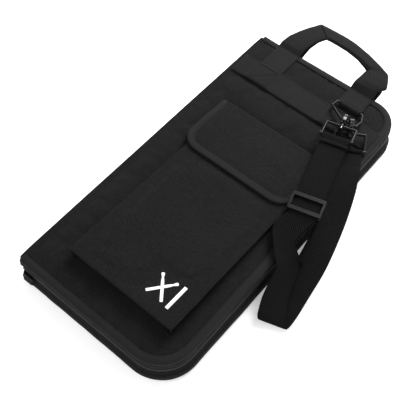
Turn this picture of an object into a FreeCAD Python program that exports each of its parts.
import FreeCAD, Part
import os
from math import cos, sin, radians

# Drum stick bag: a flat padded case that opens like a book along its spine.
# Frame: origin at the centre of the back panel's outer face, +Y towards the carry handles,
# +X towards the zipped long side, +Z out of the front panel. Millimetres.

V = FreeCAD.Vector
UP = V(0, 0, 1)

# Driving dimensions of the case
LENGTH = 500.0
WIDTH = 244.0
HEIGHT = 46.0
BOTTOM_RADIUS = 50.0
TOP_RADIUS = 40.0
HALF_X = WIDTH / 2
HALF_Y = LENGTH / 2
MID_Z = HEIGHT / 2
SPINE_GAP = 2.6

# Layers of one half, counted inwards from its outer face and its edge
PANEL_T = 2.2
PAD_T = 3.8
LINING_T = 1.0
BINDING_W = 3.0
BINDING_T = 4.6
LINING_TOP = PANEL_T + PAD_T + LINING_T
INNER_INSET = 3.4
GUSSET_LOW = 5.2
GUSSET_HIGH = 13.8
TAPE_LOW = 14.0
TAPE_HIGH = 20.4
COIL_LOW = 20.5
COIL_HIGH = 22.3

# Webbing
WEB_W = 38.0
WEB_T = 1.5
LEFT_LEG_X = -73.0
RIGHT_LEG_X = 55.0
BAND_LOW_Y = 164.0
BAND_HIGH_Y = 202.0

# Front pocket and its flap
POCKET_X = (-74.0, 91.0)
POCKET_Y = (-204.0, 76.0)
POCKET_LOW_H = 18.0
POCKET_HIGH_H = 4.0
POCKET_WALL = 1.5
FLAP_X = (-86.0, 92.0)
FLAP_Y = (14.0, 112.0)
FLAP_T = 2.0
FLAP_GAP = 2.4
FLAP_RADIUS = 28.0
FLAP_EDGE = 2.0
PATCH_T = 1.1

# Inner pockets
INNER_X = (-112.0, 84.0)
INNER_LOW_Y = -243.0
STICK_MOUTH_Y = 40.0
TOOL_MOUTH_Y = -30.0
STICK_DEPTH = 17.0
TOOL_DEPTH = 12.0
CLOTH_T = 1.2

# Zip sliders, parked nose to nose on the long side
SLIDER_Y = {"upper": 106.0, "lower": 88.0}
PULL_SIDE = {"upper": 1, "lower": -1}
BAIL_X = HALF_X + 2.8
BAIL_R = 0.9
RUNNING = 0.06

# Ring, snap hooks and shoulder strap
RING_R = 1.8
RING_BAR = V(0, 211, 52.0)
RING_FOOT = V(0, 183, 58.5)
HOOKS = {
    "1": {"x": 67.5, "heading": 16.0, "pitch": 10.0},
    "2": {"x": 78.5, "heading": 30.0, "pitch": -12.5},
}
LOOP_R = 6.5
HOOK_ROD_R = 1.9
HOOK_SIDE = 1.5
HUB_X = 14.0
POST_R = 1.9
FRAME_LENGTH = 26.0
FRAME_HALF_W = 21.0
FRAME_ROD_R = 1.9
STRAP_RUN = 112.0
STRAP_SLOPE = 2.2
GLIDE_HALF_W = 22.5
GLIDE_HALF_L = 13.5


def box(x0, x1, y0, y1, z0, z1):
    return Part.makeBox(x1 - x0, y1 - y0, z1 - z0, V(x0, y0, z0))


def rod(start, end, radius):
    return Part.makeCylinder(radius, (end - start).Length, start, end - start)


def rod_path(points, radius):
    """Round bar through the points, with a ball at every point."""
    shape = Part.makeSphere(radius, points[0])
    for start, end in zip(points, points[1:]):
        shape = shape.fuse(rod(start, end, radius)).fuse(Part.makeSphere(radius, end))
    return shape.removeSplitter()


def rounded_face(x0, x1, y0, y1, low_r, high_r, z):
    """Rectangle whose two corners on the +X side are rounded."""
    k = cos(radians(45))
    low_c = V(x1 - low_r, y0 + low_r, z)
    high_c = V(x1 - high_r, y1 - high_r, z)
    edges = [
        Part.makeLine(V(x0, y0, z), V(x1 - low_r, y0, z)),
        Part.Arc(V(x1 - low_r, y0, z), low_c + V(low_r * k, -low_r * k, 0), V(x1, y0 + low_r, z)).toShape(),
        Part.makeLine(V(x1, y0 + low_r, z), V(x1, y1 - high_r, z)),
        Part.Arc(V(x1, y1 - high_r, z), high_c + V(high_r * k, high_r * k, 0), V(x1 - high_r, y1, z)).toShape(),
        Part.makeLine(V(x1 - high_r, y1, z), V(x0, y1, z)),
        Part.makeLine(V(x0, y1, z), V(x0, y0, z)),
    ]
    return Part.Face(Part.Wire(edges))


def slab(inset, z0, z1, left=None):
    """Plate with the outline of one half, set in from the edge on the three zipped sides."""
    x0 = -HALF_X + SPINE_GAP if left is None else left
    face = rounded_face(x0, HALF_X - inset, -HALF_Y + inset, HALF_Y - inset,
                        BOTTOM_RADIUS - inset, TOP_RADIUS - inset, z0)
    return face.extrude(V(0, 0, z1 - z0))


def wall(outer, inner, z0, z1):
    """Upright wall along the three zipped sides."""
    return slab(outer, z0, z1).cut(slab(inner, z0 - 1, z1 + 1, left=-WIDTH))


def to_front(shape):
    """The same piece in the front half."""
    return shape.mirror(V(0, 0, MID_Z), UP)


def ribbon(stations):
    """Closed band through stations of (left point, right point, thickness)."""
    rings = []
    for i, (left, right, thick) in enumerate(stations):
        before = stations[max(i - 1, 0)]
        after = stations[min(i + 1, len(stations) - 1)]
        along = (after[0] + after[1]) - (before[0] + before[1])
        normal = (right - left).cross(along)
        normal.normalize()
        normal = normal * (thick / 2)
        rings.append([left + normal, right + normal, right - normal, left - normal])
    triangles = []
    for a, b in zip(rings, rings[1:]):
        for k in range(4):
            n = (k + 1) % 4
            triangles.append((a[k], a[n], b[n]))
            triangles.append((a[k], b[n], b[k]))
    for ring in (rings[0], rings[-1]):
        triangles.append((ring[0], ring[1], ring[2]))
        triangles.append((ring[0], ring[2], ring[3]))
    faces = [Part.Face(Part.makePolygon([a, b, c, a])) for a, b, c in triangles]
    solid = Part.Solid(Part.Shell(Part.Compound(faces).Faces))
    if solid.Volume < 0:
        solid.reverse()
    return solid


# ---- the two halves and the spine

def inner_pocket(mouth_y, depth, dividers):
    """Sewn pocket on the lining, open towards the handles, with stitched dividers."""
    x0, x1 = INNER_X
    low = LINING_TOP
    high = low + depth
    outer = box(x0, x1, INNER_LOW_Y, mouth_y, low, high)
    shape = outer.cut(box(x0 + CLOTH_T, x1 - CLOTH_T, INNER_LOW_Y + CLOTH_T, mouth_y + 1, low - 1, high - CLOTH_T))
    for k in range(dividers):
        x = x0 + (x1 - x0) * (k + 1) / (dividers + 1)
        shape = shape.fuse(box(x - CLOTH_T / 2, x + CLOTH_T / 2, INNER_LOW_Y, mouth_y, low, high))
    return shape.removeSplitter()


def pocket_binding(mouth_y, depth):
    high = LINING_TOP + depth
    return box(INNER_X[0], INNER_X[1], mouth_y, mouth_y + 9, high - 1.6, high + 0.2)


def leg_strips(low_y, high_y, z):
    """The two webbing legs of one carry handle, as sewn on a panel."""
    strips = [box(x - WEB_W / 2, x + WEB_W / 2, low_y, high_y, z, z + WEB_T) for x in (LEFT_LEG_X, RIGHT_LEG_X)]
    return Part.Compound(strips)


def spine_panel():
    return box(-HALF_X, -HALF_X + PANEL_T, -HALF_Y + BINDING_W, HALF_Y - BINDING_W, BINDING_W, HEIGHT - BINDING_W)


def spine_lining():
    return box(-HALF_X + PANEL_T, -HALF_X + PANEL_T + 2, -HALF_Y + 12, HALF_Y - 12, 8, HEIGHT - 8)


def zipper_end_tabs():
    """Folded fabric tabs that close the two ends of the zipper chain near the spine."""
    low = box(-HALF_X - 6, -HALF_X + 22, -HALF_Y - 3, -HALF_Y - 0.2, 8, 20)
    high = box(-HALF_X + 4, -HALF_X + 22, HALF_Y + 0.2, HALF_Y + 2, 8, 20)
    return Part.Compound([low, high])


# ---- front pocket

def pocket_top(y):
    """Height of the pocket's face above the front panel."""
    share = (y - POCKET_Y[0]) / (POCKET_Y[1] - POCKET_Y[0])
    return HEIGHT + POCKET_LOW_H + (POCKET_HIGH_H - POCKET_LOW_H) * share


def wedge(x0, x1, profile):
    """Prism along X over a profile of (y, z) points."""
    points = [V(x0, y, z) for y, z in profile]
    return Part.Face(Part.makePolygon(points + points[:1])).extrude(V(x1 - x0, 0, 0))


def front_pocket():
    low, high = POCKET_Y
    outer = wedge(POCKET_X[0], POCKET_X[1],
                  [(low, HEIGHT), (low, pocket_top(low)), (high, pocket_top(high)), (high, HEIGHT)])
    w = POCKET_WALL
    inner = wedge(POCKET_X[0] + w, POCKET_X[1] - w,
                  [(low + w, HEIGHT - 1), (low + w, pocket_top(low) - w), (high + 1, pocket_top(high) - w),
                   (high + 1, HEIGHT - 1)])
    return outer.cut(inner)


def flap_profile(y0, lift, thick):
    """Side view of the flap: parallel to the pocket's face, then down to its seam on the panel."""
    shoulder = POCKET_Y[1] + 2
    seam = FLAP_Y[1]
    seam_z = HEIGHT + 1.0
    return [(y0, pocket_top(y0) + lift), (shoulder, pocket_top(shoulder) + lift), (seam, seam_z),
            (seam, seam_z + thick), (shoulder, pocket_top(shoulder) + lift + thick),
            (y0, pocket_top(y0) + lift + thick)]


def flap_outline(inset):
    """Tall prism with the flap's plan outline, rounded at its two free corners."""
    x0, x1 = FLAP_X[0] + inset, FLAP_X[1] - inset
    y0, y1 = FLAP_Y[0] + inset, FLAP_Y[1] + 1
    solid = box(x0, x1, y0, y1, HEIGHT - 5, HEIGHT + 30)
    corners = [e for e in solid.Edges
               if abs(e.Vertexes[0].X - e.Vertexes[-1].X) < 0.01
               and abs(e.Vertexes[0].Y - y0) < 0.01 and abs(e.Vertexes[-1].Y - y0) < 0.01]
    return solid.makeFillet(FLAP_RADIUS - inset, corners)


def flap_panel():
    body = wedge(FLAP_X[0], FLAP_X[1], flap_profile(FLAP_Y[0], FLAP_GAP, FLAP_T))
    return body.common(flap_outline(FLAP_EDGE))


def flap_binding():
    """Binding tape folded round the flap's three free edges."""
    body = wedge(FLAP_X[0], FLAP_X[1], flap_profile(FLAP_Y[0], FLAP_GAP - 0.3, FLAP_T + 0.6))
    return body.common(flap_outline(0)).cut(flap_outline(FLAP_EDGE))


def patch(lift):
    y0, y1 = 29.0, 59.0
    return wedge(-60, 66, [(y0, pocket_top(y0) + lift), (y0, pocket_top(y0) + lift + PATCH_T),
                           (y1, pocket_top(y1) + lift + PATCH_T), (y1, pocket_top(y1) + lift)])


def emblem():
    """Plain decorative print: two crossed sticks over a short bar."""
    cx, cy = 47.0, -166.0
    sheet = wedge(0, 90, [(-200, pocket_top(-200)), (-200, pocket_top(-200) + 0.25),
                          (-130, pocket_top(-130) + 0.25), (-130, pocket_top(-130))])
    shape = box(66, 71, -189, -149, HEIGHT, HEIGHT + 30)
    for angle in (35, -35):
        stick = box(cx - 22, cx + 18, cy - 2, cy + 2, HEIGHT, HEIGHT + 30)
        stick.rotate(V(cx, cy, 0), UP, angle)
        shape = shape.fuse(stick)
    return shape.common(sheet)


# ---- zip sliders

def slider(which):
    """Slider round both coils, with a bail for its pull."""
    y = SLIDER_Y[which]
    x = HALF_X
    shape = box(x - 0.3, x + 1.2, y - 6, y + 6, MID_Z - 4.5, MID_Z + 4.5)
    shape = shape.fuse(box(x - 4.6, x - 3.1, y - 6, y + 6, MID_Z - 4.5, MID_Z + 4.5))
    shape = shape.fuse(box(x - 3.1, x - 0.3, y - 5, y + 5, MID_Z - 0.45, MID_Z + 0.45))
    for z in (MID_Z - 4.4, MID_Z + 3.0):
        shape = shape.fuse(box(x + 1.2, BAIL_X + 0.8, y - 1.4, y + 1.4, z, z + 1.4))
    bail = rod(V(BAIL_X, y, MID_Z - 4), V(BAIL_X, y, MID_Z + 4), BAIL_R)
    return shape.fuse(bail).removeSplitter()


def pull(which):
    """Pull tab with an eye that turns on the slider's bail."""
    y = SLIDER_Y[which]
    side = PULL_SIDE[which]
    eye = rod(V(BAIL_X, y, MID_Z - 2.4), V(BAIL_X, y, MID_Z + 2.4), 1.5)
    end = y + side * 24
    tab = box(BAIL_X - 0.8, BAIL_X + 0.8, min(y, end), max(y, end), MID_Z - 2.4, MID_Z + 2.4)
    hole = rod(V(BAIL_X, y, 0), V(BAIL_X, y, HEIGHT), BAIL_R + RUNNING)
    return eye.fuse(tab).cut(hole).removeSplitter()


# ---- carry handles

def handle(z_foot, z_grip, reach):
    """Free loop of webbing: flat legs, folded to a narrow grip, with a slack fold at the right."""
    y0 = HALF_Y + 1.2
    grip_y = HALF_Y + reach
    half = WEB_W / 2
    z1 = (z_foot * 2 + z_grip) / 3
    stations = [
        (V(LEFT_LEG_X - half, y0, z_foot), V(LEFT_LEG_X + half, y0, z_foot), WEB_T),
        (V(LEFT_LEG_X - half + 6, grip_y - 18, z1), V(LEFT_LEG_X + half - 1, grip_y - 22, z1), WEB_T * 2),
        (V(-52, grip_y + 10, z_grip), V(-38, grip_y - 6, z_grip), 7),
        (V(-24, grip_y + 10, z_grip), V(-22, grip_y - 7, z_grip), 8),
        (V(30, grip_y + 8, z_grip), V(25, grip_y - 9, z_grip), 8),
        (V(70, grip_y - 12, z_grip), V(50, grip_y - 22, z_grip), 6),
        (V(RIGHT_LEG_X + half, y0, z_foot), V(RIGHT_LEG_X - half, y0, z_foot), WEB_T),
    ]
    return ribbon(stations)


# ---- ring, hooks and strap

def ring_keeper():
    """Webbing folded round the ring's straight bar and sewn on the handle leg."""
    bar = RING_BAR
    block = box(41.5, 75.5, bar.y - 8, bar.y + 8, HEIGHT + WEB_T, bar.z + 3.4)
    return block.cut(rod(V(30, bar.y, bar.z), V(90, bar.y, bar.z), RING_R + RUNNING))


def d_ring():
    """Closed ring of round bar: straight in its keeper, narrower where the hooks hang."""
    bar, foot = RING_BAR, RING_FOOT
    points = [V(38, bar.y, bar.z), V(79, bar.y, bar.z), V(86, bar.y - 14, bar.z + 3.4),
              V(85.5, foot.y, foot.z), V(61, foot.y, foot.z), V(37.5, bar.y - 14, bar.z + 3.4)]
    return rod_path(points + points[:1], RING_R)


def hook_place(shape, which):
    """Moves a shape from a hook's own frame (x along the hook, loop centre at 0) onto the ring."""
    hook = HOOKS[which]
    shape.rotate(V(0, 0, 0), V(0, 1, 0), -hook["pitch"])
    shape.rotate(V(0, 0, 0), UP, -90 + hook["heading"])
    shape.translate(V(hook["x"], RING_FOOT.y, RING_FOOT.z))
    return shape


def hook_point(which, x, y, z=0.0):
    """A point of a hook's own frame, in the case's frame."""
    vertex = hook_place(Part.Vertex(V(x, y, z)), which)
    return V(vertex.X, vertex.Y, vertex.Z)


def snap_hook(which):
    """Upright open loop of broad flat section with a swivel post."""
    shape = Part.Shape()
    for y in (-HOOK_SIDE, 0, HOOK_SIDE):
        arc = [V(LOOP_R * cos(radians(a)), y, LOOP_R * sin(radians(a))) for a in range(-25, -246, -20)]
        strand = rod_path(arc, HOOK_ROD_R)
        shape = strand if shape.isNull() else shape.fuse(strand)
    shape = shape.fuse(rod(V(LOOP_R - 1.2, 0, 0), V(LOOP_R + 2.1, 0, 0), 3.6))
    shape = shape.fuse(rod(V(LOOP_R + 2, 0, 0), V(HUB_X + 3, 0, 0), POST_R))
    shape = shape.fuse(rod(V(HUB_X + 2.6, 0, 0), V(HUB_X + 6, 0, 0), 2.9))
    return hook_place(shape.removeSplitter(), which)


def gate_ends():
    """Pivot and nose of the gate in the hook's own frame."""
    nose = radians(115)
    return V(LOOP_R - 0.6, 0, 5.7), V(LOOP_R * cos(nose) + 3.6, 0, LOOP_R * sin(nose) - 0.2)


def hook_gate(which):
    """Spring gate that closes the hook's mouth."""
    pivot, nose = gate_ends()
    side = V(0, 1.3, 0)
    shape = rod_path([pivot - side, nose - side], 1.4).fuse(rod_path([pivot + side, nose + side], 1.4))
    shape = shape.fuse(rod_path([pivot, nose], 1.4))
    return hook_place(shape, which)


def swivel_frame(which):
    """Rectangular loop that turns on the hook's post and holds the strap."""
    far = HUB_X + FRAME_LENGTH
    w = FRAME_HALF_W
    points = [V(HUB_X, -w, 0), V(far, -w, 0), V(far, w, 0), V(HUB_X, w, 0)]
    shape = rod_path(points + points[:1], FRAME_ROD_R)
    for side in (-1, 1):
        shape = shape.fuse(rod(V(far, side * (w - 1.0), 0), V(far, side * (w + 2.6), 0), 2.8))
    shape = shape.fuse(rod(V(HUB_X - 2.2, 0, 0), V(HUB_X + 2.2, 0, 0), 3.2))
    shape = shape.cut(rod(V(HUB_X - 5, 0, 0), V(HUB_X + 5, 0, 0), POST_R + RUNNING))
    return hook_place(shape.removeSplitter(), which)


def strap_direction():
    a = radians(HOOKS["1"]["heading"])
    down = radians(STRAP_SLOPE)
    return V(sin(a) * cos(down), -cos(a) * cos(down), -sin(down))


def frame_bar(which):
    """Ends of a swivel frame's far bar, over the strap's width, and just outside its rod."""
    far = HUB_X + FRAME_LENGTH + FRAME_ROD_R + 0.4
    half = WEB_W / 2
    return hook_point(which, far, half), hook_point(which, far, -half)


def glide_centre():
    left, right = frame_bar("1")
    return (left + right) * 0.5 + strap_direction() * STRAP_RUN


def strap_webbing():
    """Strap as it lies: off hook 1, over the case's edge, a fold on the floor, back to hook 2."""
    start_l, start_r = frame_bar("1")
    if start_l.x > start_r.x:
        start_l, start_r = start_r, start_l
    run = strap_direction() * (STRAP_RUN + GLIDE_HALF_L + 2)
    end_l, end_r = frame_bar("2")
    if end_l.x > end_r.x:
        end_l, end_r = end_r, end_l
    double = WEB_T * 2
    stations = [
        (start_l, start_r, WEB_T),
        (start_l + run, start_r + run, WEB_T),
        (V(92, -8, 58.5), V(127.5, -1, 56.5), double),
        (V(103, -24, 55.5), V(136, -9, 48.5), double),
        (V(114, -36, 53), V(145, -19, 42), double),
        (V(127.5, -47, 49), V(155, -32, 34), double),
        (V(135, -58, 36), V(162, -44, 27), double),
        (V(139, -74, 26), V(168, -60, 22.5), double),
        (V(145, -95, 18.5), V(178, -84, 17.5), double),
        (V(147, -103, 14.5), V(180.5, -92, 14), double),
        (V(148, -105, 9.5), V(181.5, -94, 9.5), double),
        (V(147, -103, 4.8), V(181.5, -91, 4.8), double),
        (V(144, -92, 2.4), V(181, -80, 2.4), double),
        (V(140, -50, 13), V(177, -46, 5), double),
        (V(136.5, -10, 27), V(171, -5, 10), double),
        (V(132, 22, 40), V(164.5, 32, 19), double),
        (V(126.5, 50, 50), V(157, 66, 30), double),
        (V(113, 80, 54.5), V(145, 98, 44.5), double),
        (V(99, 106, 53.5), V(131, 124, 51), double),
        (end_l, end_r, double),
    ]
    return ribbon(stations)


def tri_glide():
    """Adjuster: end rails over the strap, centre bar under it, side rails past its edges."""
    w, l = GLIDE_HALF_W, GLIDE_HALF_L
    inner_w = WEB_W / 2 + 0.4
    low, high = -3.4, 3.2
    rail = 5.4
    shape = box(-w, -inner_w, -l, l, low, high)
    shape = shape.fuse(box(inner_w, w, -l, l, low, high))
    shape = shape.fuse(box(-w, w, -l, -l + rail, WEB_T / 2 + 0.25, high))
    shape = shape.fuse(box(-w, w, l - rail, l, WEB_T / 2 + 0.25, high))
    shape = shape.fuse(box(-w, w, -3, 3, low, -WEB_T / 2 - 0.25))
    shape = shape.removeSplitter()
    corners = [e for e in shape.Edges
               if abs(abs(e.CenterOfMass.x) - w) < 0.01 and abs(abs(e.CenterOfMass.y) - l) < 0.01]
    shape = shape.makeFillet(2.9, corners)
    shape.rotate(V(0, 0, 0), V(1, 0, 0), STRAP_SLOPE)
    shape.rotate(V(0, 0, 0), UP, HOOKS["1"]["heading"])
    shape.translate(glide_centre())
    return shape


def build():
    back_anchors = leg_strips(100, HALF_Y - 0.4, 0)
    nodes = {
        "back_panel": slab(BINDING_W, 0, PANEL_T).cut(back_anchors),
        "back_padding": slab(INNER_INSET, PANEL_T, PANEL_T + PAD_T),
        "back_lining": slab(INNER_INSET, PANEL_T + PAD_T, LINING_TOP),
        "back_gusset": wall(1.2, 3.2, GUSSET_LOW, GUSSET_HIGH),
        "back_binding": wall(0, BINDING_W, 0.4, 0.4 + BINDING_T).cut(back_anchors),
        "zipper_tape_back": wall(1.2, 2.2, TAPE_LOW, TAPE_HIGH),
        "zipper_coil_back": wall(0.6, 2.8, COIL_LOW, COIL_HIGH),
        "back_handle_anchors": back_anchors,
        "stick_pocket": inner_pocket(STICK_MOUTH_Y, STICK_DEPTH, 3),
        "stick_pocket_binding": pocket_binding(STICK_MOUTH_Y, STICK_DEPTH),
        "zipper_end_tabs": zipper_end_tabs(),
        "spine_panel": spine_panel(),
        "spine_lining": spine_lining(),
        "front_panel": to_front(slab(BINDING_W, 0, PANEL_T)),
        "front_padding": to_front(slab(INNER_INSET, PANEL_T, PANEL_T + PAD_T)),
        "front_lining": to_front(slab(INNER_INSET, PANEL_T + PAD_T, LINING_TOP)),
        "front_gusset": to_front(wall(1.2, 3.2, GUSSET_LOW, GUSSET_HIGH)),
        "front_binding": to_front(wall(0, BINDING_W, 0.4, 0.4 + BINDING_T)),
        "zipper_tape_front": to_front(wall(1.2, 2.2, TAPE_LOW, TAPE_HIGH)),
        "zipper_coil_front": to_front(wall(0.6, 2.8, COIL_LOW, COIL_HIGH)),
        "tool_pocket": to_front(inner_pocket(TOOL_MOUTH_Y, TOOL_DEPTH, 1)),
        "tool_pocket_binding": to_front(pocket_binding(TOOL_MOUTH_Y, TOOL_DEPTH)),
        "front_handle_anchors": leg_strips(BAND_LOW_Y + 2, HALF_Y - 0.4, HEIGHT),
        "webbing_band": box(-HALF_X + 4, HALF_X - 1, BAND_LOW_Y, BAND_HIGH_Y, HEIGHT + WEB_T, HEIGHT + 2 * WEB_T),
        "ring_keeper": ring_keeper(),
        "front_pocket": front_pocket(),
        "pocket_loop_patch": patch(0),
        "emblem_print": emblem(),
        "pocket_flap": flap_panel(),
        "flap_binding": flap_binding(),
        "flap_hook_patch": patch(PATCH_T + 0.1),
        "front_handle_loop": handle(HEIGHT + 1, HEIGHT + 12, 50),
        "back_handle_loop": handle(2, HEIGHT - 8, 60),
        "d_ring": d_ring(),
        "strap_webbing": strap_webbing(),
        "tri_glide": tri_glide(),
    }
    for which in SLIDER_Y:
        nodes["slider_" + which] = slider(which)
        nodes["pull_" + which] = pull(which)
    for which in HOOKS:
        nodes["hook_" + which] = snap_hook(which)
        nodes["hook_gate_" + which] = hook_gate(which)
        nodes["swivel_frame_" + which] = swivel_frame(which)
    return nodes


os.makedirs("parts", exist_ok=True)
for name, shape in build().items():
    shape.exportStep("parts/" + name + ".step")
    print(name, "solids", len(shape.Solids), "valid", shape.isValid(), "volume", round(shape.Volume))
